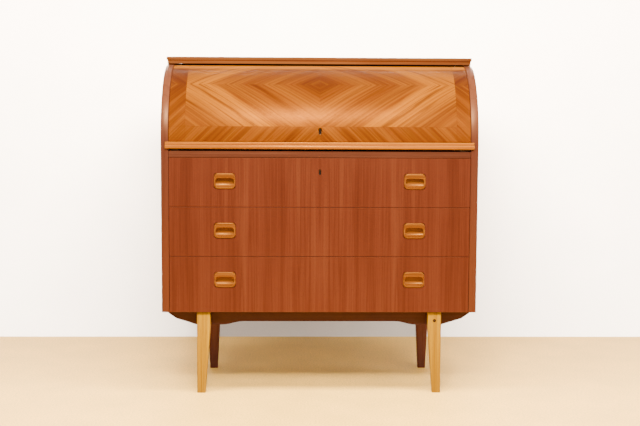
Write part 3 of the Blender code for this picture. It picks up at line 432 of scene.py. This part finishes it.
def makeLidVeneer():
    # four book-matched leaves meet at the middle of the lid, inside contrary-grained bands
    wood = lidVeneer
    low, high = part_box("lid_shell")
    radius = lidAxis.y - low.y
    material, tree, shader, place = newMaterial("lidVeneer")

    def times(value, factor):
        return calc(tree, "MULTIPLY", value, factor)

    x, y, z = separate(tree, place)[0:3]
    turn = calc(tree, "ARCTAN2", calc(tree, "SUBTRACT", z, lidAxis.z), calc(tree, "SUBTRACT", lidAxis.y, y))
    run = times(turn, radius)
    seam = math.radians(wood["seamTurn"]) * radius
    fromMiddle = calc(tree, "ABSOLUTE", x)
    above = calc(tree, "GREATER_THAN", run, seam)
    onLeft = calc(tree, "LESS_THAN", x, 0.0)
    fromSeam = calc(tree, "ABSOLUTE", calc(tree, "SUBTRACT", run, seam))
    lean = math.radians(wood["grainTurn"])
    across = calc(tree, "MULTIPLY_ADD", fromMiddle, math.sin(lean), times(fromSeam, math.cos(lean)))
    along = calc(tree, "SUBTRACT", times(fromMiddle, math.cos(lean)), times(fromSeam, math.sin(lean)))
    # each leaf is cut from the same flitch, a little further in
    leafShift = calc(tree, "MULTIPLY_ADD", above, 0.31, times(onLeft, 0.17))
    # the bands: their grain leans the other way
    mirrored = calc(tree, "SUBTRACT", seam, fromSeam)
    half = math.sqrt(0.5)
    bandAcross = times(calc(tree, "ADD", fromMiddle, mirrored), half)
    bandAlong = times(calc(tree, "SUBTRACT", fromMiddle, mirrored), half)
    leftLine = low.x + wood["sideBand"]["left"]
    rightLine = high.x - wood["sideBand"]["right"]
    pastLeft = calc(tree, "LESS_THAN", x, leftLine)
    pastRight = calc(tree, "GREATER_THAN", x, rightLine)
    inSide = calc(tree, "MAXIMUM", pastLeft, pastRight)
    inBottom = calc(tree, "LESS_THAN", run, wood["bottomBand"])
    inBand = calc(tree, "MAXIMUM", inSide, inBottom)

    def choose(first, second):
        node = addNode(tree, "ShaderNodeMix", data_type="FLOAT")
        feed(tree, node.inputs[0], inBand)
        feed(tree, node.inputs[2], first)
        feed(tree, node.inputs[3], second)
        return node.outputs[0]

    grainAlong = choose(along, bandAlong)
    grainAcross = choose(across, calc(tree, "ADD", bandAcross, 2.0))
    turned = combine(tree, grainAlong, grainAcross, leafShift)
    grain = useGroup(tree, woodGrain, Place=turned, Band=wood["band"], Wave=wood["wave"])
    dark, middle, light, gold = (linear(*wood[key]) for key in ("dark", "middle", "light", "gold"))
    wander = noise(tree, combine(tree, times(along, 5.0), times(across, 16.0), times(leafShift, 3.0)), 3.0)
    leaf = calc(tree, "MULTIPLY_ADD", calc(tree, "SUBTRACT", wander, 0.5), 0.034, across)
    leafColour = ramp(tree, times(leaf, 2.5), [
        (0.0, dark), (0.07, dark), (0.12, middle), (0.22, light), (0.295, middle), (0.31, dark),
        (0.33, middle), (0.40, light), (0.47, middle), (0.51, gold), (0.565, gold), (0.58, dark),
        (0.60, gold), (0.70, light), (0.82, middle), (1.0, light)])
    # the glow of the outer ends of the leaves
    glow = times(spread(tree, fromMiddle, 0.24, 0.40), spread(tree, fromSeam, 0.0, 0.11, 1.0, 0.0))
    leafColour = blendColour(tree, times(glow, 0.65), leafColour, gold)
    bandTone = noise(tree, combine(tree, times(bandAlong, 3.0), times(bandAcross, 30.0), 5.0), 2.0)
    bandColour = ramp(tree, bandTone, [(0.3, dark), (0.5, middle), (0.72, light)])
    bandColour = blendColour(tree, times(times(inSide, above), 0.65), bandColour, dark)
    base = blendColour(tree, inBand, leafColour, bandColour)
    # narrow summer and winter stripes, a few millimetres each
    stripe = noise(tree, combine(tree, times(grainAlong, 2.5), times(grainAcross, 150.0), leafShift), 1.0)
    base = blendColour(tree, spread(tree, stripe, 0.52, 0.66, 0.0, 0.75), base, dark)
    base = blendColour(tree, spread(tree, stripe, 0.34, 0.46, 0.5, 0.0), base, light)
    # paler paint along the top of the lid stands in for a bright reflection
    base = blendColour(tree, spread(tree, run, 0.285, 0.305, 0.0, 0.85), base, linear(*wood["paintedReflectColour"]))
    # fine dark joints between the leaves
    gaps = [calc(tree, "ABSOLUTE", calc(tree, "SUBTRACT", value, line)) for value, line in (
        (x, leftLine), (x, rightLine), (run, wood["bottomBand"]))]
    joint = calc(tree, "MINIMUM", calc(tree, "MINIMUM", gaps[0], gaps[1]), gaps[2])
    base = blendColour(tree, spread(tree, joint, 0.0002, 0.0010, 0.6, 0.0), base, dark)
    finishWood(tree, shader, place, grain, wood, base=base)
    return material


def makeMetal(name, colour, roughness, dull):
    material, tree, shader, place = newMaterial(name)
    use = useGroup(tree, handling, Place=place)
    fine = noise(tree, scaled(tree, place, 400.0), 3.0)
    tarnish = calc(tree, "MULTIPLY_ADD", use["Smudge"], 0.5, calc(tree, "MULTIPLY", fine, 0.5))
    tree.links.new(blendColour(tree, tarnish, linear(*colour), linear(*dull)), shader.inputs["Base Color"])
    tree.links.new(calc(tree, "MULTIPLY_ADD", tarnish, 0.25, roughness), shader.inputs["Roughness"])
    shader.inputs["Metallic"].default_value = 1.0
    return material


def makePlain(name, colour, roughness, cloud, grit):
    # for the floor and the wall: soft clouds and a fine grit
    material, tree, shader, place = newMaterial(name)
    soft = noise(tree, scaled(tree, place, 5.0), 5.0, 0.6)
    fine = noise(tree, scaled(tree, place, 190.0), 2.0, 0.7)
    low = linear(*[value * (1 - cloud) for value in colour])
    tone = ramp(tree, soft, [(0.35, low), (0.65, linear(*colour))])
    speck = spread(tree, fine, 0.42, 0.66, 0.0, grit)
    tree.links.new(blendColour(tree, speck, tone, linear(*[value * 0.6 for value in colour])),
                   shader.inputs["Base Color"])
    shader.inputs["Roughness"].default_value = roughness
    bump = addNode(tree, "ShaderNodeBump")
    bump.inputs["Strength"].default_value = 0.15
    bump.inputs["Distance"].default_value = 0.001
    tree.links.new(fine, bump.inputs["Height"])
    tree.links.new(bump.outputs[0], shader.inputs["Normal"])
    return material


# small helpers for pieces
def makePiece(name, bm, material, body, stands=(), smooth=35):
    bmesh.ops.recalc_face_normals(bm, faces=bm.faces)
    mesh = bpy.data.meshes.new(name)
    bm.to_mesh(mesh)
    bm.free()
    mesh.shade_smooth()
    mesh.set_sharp_from_angle(angle=math.radians(smooth))
    piece = bpy.data.objects.new(name, mesh)
    bpy.context.scene.collection.objects.link(piece)
    mesh.materials.append(material)
    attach(piece, body)
    if stands:
        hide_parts(*stands)
    return piece


def settle(piece):
    # turns the modifiers into plain mesh
    depsgraph = bpy.context.evaluated_depsgraph_get()
    depsgraph.update()
    mesh = bpy.data.meshes.new_from_object(piece.evaluated_get(depsgraph))
    piece.modifiers.clear()
    old = piece.data
    piece.data = mesh
    bpy.data.meshes.remove(old)
    mesh.name = piece.name
    mesh.shade_smooth()
    mesh.set_sharp_from_angle(angle=math.radians(35))


def carve(piece, bm, mode="DIFFERENCE"):
    # one Boolean with a passing cutter, which is removed afterwards
    bmesh.ops.recalc_face_normals(bm, faces=bm.faces)
    mesh = bpy.data.meshes.new("cutter")
    bm.to_mesh(mesh)
    bm.free()
    cutter = bpy.data.objects.new("cutter", mesh)
    bpy.context.scene.collection.objects.link(cutter)
    boolean = piece.modifiers.new("carve", "BOOLEAN")
    boolean.operation = mode
    boolean.solver = "EXACT"
    boolean.object = cutter
    settle(piece)
    bpy.data.objects.remove(cutter)
    bpy.data.meshes.remove(mesh)


def blockOf(bm, low, high):
    # a box between two corners
    made = bmesh.ops.create_cube(bm, size=1.0)
    bmesh.ops.scale(bm, verts=made["verts"], vec=[high[i] - low[i] for i in range(3)])
    bmesh.ops.translate(bm, verts=made["verts"], vec=[(high[i] + low[i]) / 2 for i in range(3)])
    return made["verts"]


def roundEdges(bm, width, segments=3, wanted=None):
    edges = [edge for edge in bm.edges if wanted is None or wanted(edge)]
    bmesh.ops.bevel(bm, geom=edges, offset=width, segments=segments, profile=0.5, affect="EDGES", material=-1)


def sharpEdge(edge, angle=30):
    return len(edge.link_faces) == 2 and edge.calc_face_angle(0.0) > math.radians(angle)


def drawOut(bm, face, step):
    # extrudes a face by a step and returns the new cap
    grown = bmesh.ops.extrude_face_region(bm, geom=[face])
    fresh = [item for item in grown["geom"] if isinstance(item, bmesh.types.BMVert)]
    cap = [item for item in grown["geom"] if isinstance(item, bmesh.types.BMFace)][0]
    bmesh.ops.delete(bm, geom=[face], context="FACES_ONLY")
    bmesh.ops.translate(bm, verts=fresh, vec=step)
    return cap


def keyholeShape(bm, x, z, width, height, front, back):
    # an upright slot with round ends, as a cutter along Y
    made = bmesh.ops.create_circle(bm, cap_ends=True, segments=24, radius=width / 2)
    verts = made["verts"]
    bmesh.ops.rotate(bm, verts=verts, cent=(0, 0, 0), matrix=Matrix.Rotation(math.radians(90), 3, "X"))
    lift = height / 2 - width / 2
    for vert in verts:
        vert.co.z += math.copysign(lift, vert.co.z + 1e-6)
    bmesh.ops.translate(bm, verts=verts, vec=(x, front, z))
    drawWhole(bm, (0.0, back - front, 0.0))


def drawWhole(bm, step):
    # extrudes the only face into a solid, keeping the first face as its other end
    grown = bmesh.ops.extrude_face_region(bm, geom=bm.faces[:])
    fresh = [item for item in grown["geom"] if isinstance(item, bmesh.types.BMVert)]
    bmesh.ops.translate(bm, verts=fresh, vec=step)


# materials
finish = {name: makeWood(name, wood) for name, wood in woods.items()}
finish["lidVeneer"] = makeLidVeneer()
finish["brass"] = makeMetal("brass", (176, 140, 82), 0.28, (92, 66, 38))
finish["steel"] = makeMetal("steel", (150, 146, 140), 0.34, (78, 72, 66))
# brass painted very dark for the keyhole plates, a painted shade inside the keyholes
finish["keyholeShadeBrass"] = makeMetal("keyholeShadeBrass", (74, 46, 26), 0.42, (34, 20, 12))
finish["darkSteel"] = makeMetal("darkSteel", (70, 52, 40), 0.45, (38, 28, 22))
print("desk: finishes made")


# side panels
sideShape = {"arcSteps": 56, "round": 0.0018, "notchGap": 0.0003}


def makeSidePanel(side):
    name = "side_panel_" + side
    low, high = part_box(name)
    bm = bmesh.new()
    start = bm.verts.new((low.x, low.y, lidAxis.z))
    arcPart = bmesh.ops.spin(bm, geom=[start], cent=lidAxis, axis=(1, 0, 0), dvec=(0, 0, 0),
                             angle=-math.pi / 2, steps=sideShape["arcSteps"], use_duplicate=False)
    arcEnd = [item for item in arcPart["geom_last"] if isinstance(item, bmesh.types.BMVert)][0]
    corners = [bm.verts.new((low.x, *place)) for place in (
        (arcEnd.co.y, high.z), (high.y, high.z), (high.y, low.z), (low.y, low.z))]
    chain = [arcEnd] + corners + [start]
    for first, second in zip(chain, chain[1:]):
        bm.edges.new((first, second))
    bmesh.ops.contextual_create(bm, geom=bm.edges[:])
    drawWhole(bm, (high.x - low.x, 0, 0))
    roundEdges(bm, sideShape["round"], 2, lambda edge: sharpEdge(edge, 60))
    panel = makePiece("sidePanel" + side.capitalize(), bm, finish["caseTeak"], "case", [name])
    barLow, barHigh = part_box("pull_bar")
    notch = bmesh.new()
    gap = sideShape["notchGap"]
    past = 0.01
    notchLow = [low.x - past, low.y - past, barLow.z - gap]
    notchHigh = [high.x + past, barHigh.y + gap, barHigh.z + gap]
    if side == "left":
        notchLow[0] = barLow.x - 2 * gap
    else:
        notchHigh[0] = barHigh.x + 2 * gap
    blockOf(notch, notchLow, notchHigh)
    carve(panel, notch)


for side in ("left", "right"):
    makeSidePanel(side)
print("desk: side panels")


# top board with its moulded lip
topShape = {"lip": 0.0095, "coveSteps": 8, "coveReach": 0.003, "coveRise": 0.0050, "nose": 0.0016}


def makeTopBoard():
    low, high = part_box("top_board")
    overhang = topShape["coveReach"]
    waistTop = high.z - topShape["lip"] - topShape["coveRise"]
    bm = bmesh.new()
    blockOf(bm, (low.x + overhang, low.y + overhang, low.z), (high.x - overhang, high.y, waistTop))
    rings = []
    for step in range(1, topShape["coveSteps"] + 1):
        turn = math.pi / 2 * step / topShape["coveSteps"]
        rings.append((waistTop + topShape["coveRise"] * math.sin(turn), -overhang * math.cos(turn)))
    nose = topShape["nose"]
    rings.append((high.z - topShape["lip"] + 0.0006, 0.0))
    for step in range(0, 5):
        turn = math.pi / 2 * step / 4
        rings.append((high.z - nose + nose * math.sin(turn), -nose * (1 - math.cos(turn))))
    for height, reach in rings:
        cap = max(bm.faces, key=lambda face: face.calc_center_median().z)
        cap = drawOut(bm, cap, (0, 0, 0))
        for vert in cap.verts:
            vert.co.z = height
            vert.co.x = math.copysign(high.x + reach, vert.co.x)
            if vert.co.y < (low.y + high.y) / 2:
                vert.co.y = low.y - reach
    bmesh.ops.remove_doubles(bm, verts=bm.verts, dist=0.00001)
    makePiece("topBoardMoulded", bm, finish["topTeak"], "case", ["top_board"], 30)


makeTopBoard()


# rolling lid
lidShape = {"steps": 72, "round": 0.0012, "keyWidth": 0.0110, "keyHeight": 0.0215}


def keyCentre(node):
    low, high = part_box(node)
    return (low.z + high.z) / 2


def makeLidShell():
    low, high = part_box("lid_shell")
    outer = lidAxis.y - low.y
    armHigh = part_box("lid_arm_left")[1].z
    inner = armHigh - lidAxis.z + 0.0003
    start = math.asin((low.z - lidAxis.z) / outer)
    bm = bmesh.new()
    corners = []
    for x, reach in ((low.x, outer), (high.x, outer), (high.x, inner), (low.x, inner)):
        corners.append(bm.verts.new((x, lidAxis.y - reach * math.cos(start),
                                     lidAxis.z + reach * math.sin(start))))
    face = bm.faces.new(corners)
    bmesh.ops.spin(bm, geom=[face], cent=lidAxis, axis=(1, 0, 0), dvec=(0, 0, 0),
                   angle=-(math.pi / 2 - start), steps=lidShape["steps"], use_duplicate=False)
    bmesh.ops.remove_doubles(bm, verts=bm.verts, dist=0.00001)
    bmesh.ops.recalc_face_normals(bm, faces=bm.faces)
    roundEdges(bm, lidShape["round"], 2, lambda edge: sharpEdge(edge, 60))
    lid = makePiece("lidShell", bm, finish["lidVeneer"], "lid", ["lid_shell"])
    keyhole = bmesh.new()
    keyholeShape(keyhole, 0.0, keyCentre("lid_escutcheon"), lidShape["keyWidth"], lidShape["keyHeight"],
                 low.y - 0.01, low.y + 0.03)
    carve(lid, keyhole)


makeLidShell()
print("desk: lid and top")


# pull bar
barShape = {"steps": 20, "round": 0.0016, "step": 0.0074, "stepDepth": 0.0135}


def makePullBar():
    low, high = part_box("pull_bar")
    stepTop = high.z
    barTop = stepTop - barShape["step"]
    radius = (barTop - low.z) / 2
    bm = bmesh.new()
    start = bm.verts.new((low.x, low.y + radius, low.z))
    nose = bmesh.ops.spin(bm, geom=[start], cent=(low.x, low.y + radius, low.z + radius), axis=(1, 0, 0),
                          dvec=(0, 0, 0), angle=-math.pi, steps=barShape["steps"], use_duplicate=False)
    noseEnd = [item for item in nose["geom_last"] if isinstance(item, bmesh.types.BMVert)][0]
    stepFront = high.y - barShape["stepDepth"]
    corners = [bm.verts.new((low.x, *place)) for place in (
        (stepFront, barTop), (stepFront, stepTop), (high.y, stepTop), (high.y, low.z))]
    chain = [noseEnd] + corners + [start]
    for first, second in zip(chain, chain[1:]):
        bm.edges.new((first, second))
    bmesh.ops.contextual_create(bm, geom=bm.edges[:])
    drawWhole(bm, (high.x - low.x, 0, 0))
    roundEdges(bm, barShape["round"], 3, lambda edge: sharpEdge(edge, 50))
    makePiece("pullBarRounded", bm, finish["solidTeak"], "writing_slide", ["pull_bar"], 40)


makePullBar()


# drawer handles
handleShape = {"corner": 0.0125, "rim": 0.0030, "wall": 0.0044, "lip": 0.0158, "lipThick": 0.0075,
               "wellDepth": 0.0155, "wellCorner": 0.009, "soft": 0.0009, "rimDepth": 0.0045,
               "roomWall": 0.0069}


def roundedPlate(bm, low, high, corner, front, back, segments=8):
    # an upright plate with round corners, between two y values
    verts = blockOf(bm, (low[0], front, low[1]), (high[0], back, high[1]))
    edges = {edge for vert in verts for edge in vert.link_edges}
    upright = [edge for edge in edges if abs(edge.verts[0].co.y - edge.verts[1].co.y) > 0.5 * (back - front)]
    bmesh.ops.bevel(bm, geom=upright, offset=corner, segments=segments, profile=0.5, affect="EDGES",
                    material=-1)


def makeHandle(node, body):
    low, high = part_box(node)
    shape = handleShape
    bm = bmesh.new()
    roundedPlate(bm, (low.x, low.z), (high.x, high.z), shape["corner"], low.y, high.y)
    front = low.y + 0.0001
    roundEdges(bm, shape["rim"], 4, lambda edge: all(vert.co.y < front for vert in edge.verts))
    handle = makePiece(node + "_carved", bm, finish["handleTeak"], body, [node], 40)
    wall = shape["wall"]
    well = bmesh.new()
    # a side view of the well, grown across the handle
    lip = high.z - shape["lip"]
    bottom = low.z + wall
    deep = low.y + shape["wellDepth"]
    behind = low.y + shape["lipThick"]
    scoop = (lip - bottom) * 0.6
    rim = low.y + shape["rimDepth"]
    corner = well.verts.new((low.x, rim, bottom))
    curve = bmesh.ops.spin(well, geom=[corner], cent=(low.x, rim, bottom + scoop), axis=(1, 0, 0),
                           dvec=(0, 0, 0), angle=math.pi / 2, steps=12, use_duplicate=False)
    end = [item for item in curve["geom_last"] if isinstance(item, bmesh.types.BMVert)][0]
    for vert in well.verts:
        vert.co.y = rim + (vert.co.y - rim) * (deep - rim) / scoop
    rest = [well.verts.new((low.x, *place)) for place in (
        (deep, high.z - wall), (behind, high.z - wall), (behind, lip + 0.0030),
        (behind - 0.0012, lip + 0.0010), (behind - 0.0035, lip), (low.y + 0.0035, lip),
        (low.y + 0.0010, lip + 0.0008), (low.y - 0.004, lip + 0.0050), (low.y - 0.006, bottom))]
    chain = [end] + rest + [corner]
    for first, second in zip(chain, chain[1:]):
        well.edges.new((first, second))
    bmesh.ops.contextual_create(well, geom=well.edges[:])
    drawWhole(well, (high.x - low.x, 0, 0))
    bmesh.ops.recalc_face_normals(well, faces=well.faces)
    limit = bmesh.new()
    roundedPlate(limit, (low.x + wall, low.z + wall), (high.x - wall, lip + 0.0015), shape["wellCorner"],
                 low.y - 0.02, high.y - 0.0005, 6)
    wellMesh = bpy.data.meshes.new("well")
    well.to_mesh(wellMesh)
    well.free()
    wellPiece = bpy.data.objects.new("well", wellMesh)
    bpy.context.scene.collection.objects.link(wellPiece)
    carve(wellPiece, limit, "INTERSECT")
    trimmed = bmesh.new()
    trimmed.from_mesh(wellPiece.data)
    bpy.data.objects.remove(wellPiece)
    carve(handle, trimmed)
    # finger room behind the lip
    fingerRoom = bmesh.new()
    roomWall = shape["roomWall"]
    blockOf(fingerRoom, (low.x + roomWall, behind, lip - 0.004),
            (high.x - roomWall, deep - 0.0004, high.z - wall))
    carve(handle, fingerRoom)
    bevel = handle.modifiers.new("soften", "BEVEL")
    bevel.width = shape["soft"]
    bevel.segments = 2
    bevel.limit_method = "ANGLE"
    bevel.angle_limit = math.radians(50)
    settle(handle)


for level in ("top", "middle", "bottom"):
    for side in ("left", "right"):
        makeHandle(f"drawer_{level}_handle_{side}", "drawer_" + level)
print("desk: pull bar and handles")


# legs
legShape = {"round": 0.0026, "footRound": 0.0010, "screwGap": 0.0002, "screwDepth": 0.012}


def makeLeg(node, material):
    # rebuilt over the CAD leg's own corners: a tapered post with soft edges
    low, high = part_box(node)
    places = [vert.co for vert in nodes[node].data.vertices]
    bend = min(place.z for place in places if place.z > low.z + 0.1)
    foot = [place for place in places if place.z < low.z + 0.001]
    footLow = [min(place[i] for place in foot) for i in range(2)]
    footHigh = [max(place[i] for place in foot) for i in range(2)]
    bm = bmesh.new()
    blockOf(bm, (low.x, low.y, bend), (high.x, high.y, high.z))
    cap = min(bm.faces, key=lambda face: face.calc_center_median().z)
    cap = drawOut(bm, cap, (0, 0, 0))
    for vert in cap.verts:
        vert.co.x = footLow[0] if vert.co.x < (low.x + high.x) / 2 else footHigh[0]
        vert.co.y = footLow[1] if vert.co.y < (low.y + high.y) / 2 else footHigh[1]
        vert.co.z = low.z
    bmesh.ops.recalc_face_normals(bm, faces=bm.faces)
    roundEdges(bm, legShape["round"], 4, lambda edge: abs(edge.verts[0].co.z - edge.verts[1].co.z) > 0.01)
    sole = low.z + 0.0001
    roundEdges(bm, legShape["footRound"], 2, lambda edge: all(vert.co.z < sole for vert in edge.verts))
    leg = makePiece(node + "_tapered", bm, material, "case", [node], 40)
    if node == "leg_front_left":
        # no screw shows on this leg, so it gets no hole and the screw stays inside the wood
        return
    screwLow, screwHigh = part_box(node.replace("leg_", "leg_screw_"))
    radius = (screwHigh.x - screwLow.x) / 2 + legShape["screwGap"]
    hole = bmesh.new()
    verts = bmesh.ops.create_cone(hole, cap_ends=True, segments=24, radius1=radius, radius2=radius,
                                  depth=legShape["screwDepth"])["verts"]
    bmesh.ops.rotate(hole, verts=verts, cent=(0, 0, 0), matrix=Matrix.Rotation(math.radians(90), 3, "X"))
    face = low.y if "front" in node else high.y
    bmesh.ops.translate(hole, verts=verts,
                        vec=((screwLow.x + screwHigh.x) / 2, face, (screwLow.z + screwHigh.z) / 2))
    carve(leg, hole)


for side in ("left", "right"):
    makeLeg("leg_front_" + side, finish["beechLeg"])
    makeLeg("leg_rear_" + side, finish["rearLegWood"])
print("desk: legs")


# finishes on the CAD parts that show
def paint(node, material):
    for slot in nodes[node].material_slots:
        slot.material = material


for level in ("top", "middle", "bottom"):
    node = f"drawer_{level}_front"
    paint(node, makeDrawerVeneer("drawerVeneer" + level.capitalize(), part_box(node)))
    paint(f"drawer_{level}_box", finish["drawerWood"])
    paint(f"drawer_{level}_bottom", finish["drawerWood"])

painted = {
    "railTeak": ["front_rail"],
    "insideTeak": ["gallery_floor", "gallery_end_left", "gallery_end_right", "gallery_top", "gallery_insert",
                   "lid_rail", "lid_arm_left", "lid_arm_right", "slide_board", "pen_drawer_left",
                   "pen_drawer_right"],
    "frameTeak": ["front_apron", "rear_apron", "cross_rail_left", "cross_rail_right"],
    "runnerWood": ["runner_frame_left", "runner_frame_right", "slide_guide_left", "slide_guide_right",
                   "slide_stop", "bottom_panel"],
    "backBoard": ["back_panel"],
    # the keyhole plates carry a painted shade for the keyholes
    "keyholeShadeBrass": ["lid_escutcheon", "drawer_escutcheon"],
    "brass": ["lid_lock_bolt", "drawer_lock_bolt", "lid_strike_plate"],
    "steel": ["lid_lock_case", "drawer_lock_case", "lid_pivot_pin_left", "lid_pivot_pin_right"],
    "darkSteel": ["leg_screw_front_left", "leg_screw_front_right", "leg_screw_rear_left",
                  "leg_screw_rear_right"],
}
for key, names in painted.items():
    for name in names:
        paint(name, finish[key])
print("desk: CAD parts finished")


# floor and wall
def makeSheet(name, size, material, upright=False):
    # a flat square of the room, in a collection of its own for its lamp
    bm = bmesh.new()
    verts = bmesh.ops.create_grid(bm, x_segments=1, y_segments=1, size=6.0)["verts"]
    if upright:
        bmesh.ops.scale(bm, verts=verts, vec=(1, size / 12, 1))
        bmesh.ops.rotate(bm, verts=verts, cent=(0, 0, 0), matrix=Matrix.Rotation(math.radians(90), 3, "X"))
        bmesh.ops.translate(bm, verts=verts, vec=(0, room["wallAt"], size / 2))
    mesh = bpy.data.meshes.new(name)
    bm.to_mesh(mesh)
    bm.free()
    mesh.materials.append(material)
    piece = bpy.data.objects.new(name, mesh)
    bpy.context.scene.collection.objects.link(piece)
    bpy.data.collections.new(name + "Only").objects.link(piece)
    return piece


def clearFromBehind(material):
    # the wall lets the desk's back be looked at
    tree = material.node_tree
    shader = tree.nodes["Principled BSDF"]
    output = tree.nodes["Material Output"]
    mixed = addNode(tree, "ShaderNodeMixShader")
    feed(tree, mixed.inputs[0], addNode(tree, "ShaderNodeNewGeometry").outputs["Backfacing"])
    tree.links.new(shader.outputs[0], mixed.inputs[1])
    tree.links.new(addNode(tree, "ShaderNodeBsdfTransparent").outputs[0], mixed.inputs[2])
    tree.links.new(mixed.outputs[0], output.inputs["Surface"])
    return material


def makeStage():
    deskOnly = bpy.data.collections.new("deskOnly")
    for thing in bpy.context.scene.objects:
        if thing.type == "MESH":
            deskOnly.objects.link(thing)
    floor = makeSheet("floor", 12.0, makePlain("paleFloor", room["floor"], 0.55, 0.06, 0.5))
    floor.visible_diffuse = False
    wallMaterial = clearFromBehind(makePlain("paleWall", room["wall"], 0.8, 0.02, 0.06))
    wall = makeSheet("wall", room["wallHigh"], wallMaterial, upright=True)
    wall.visible_diffuse = False


makeStage()
makeCamera(cameraView)
makeLamps()
print("desk: room, camera and lamps")
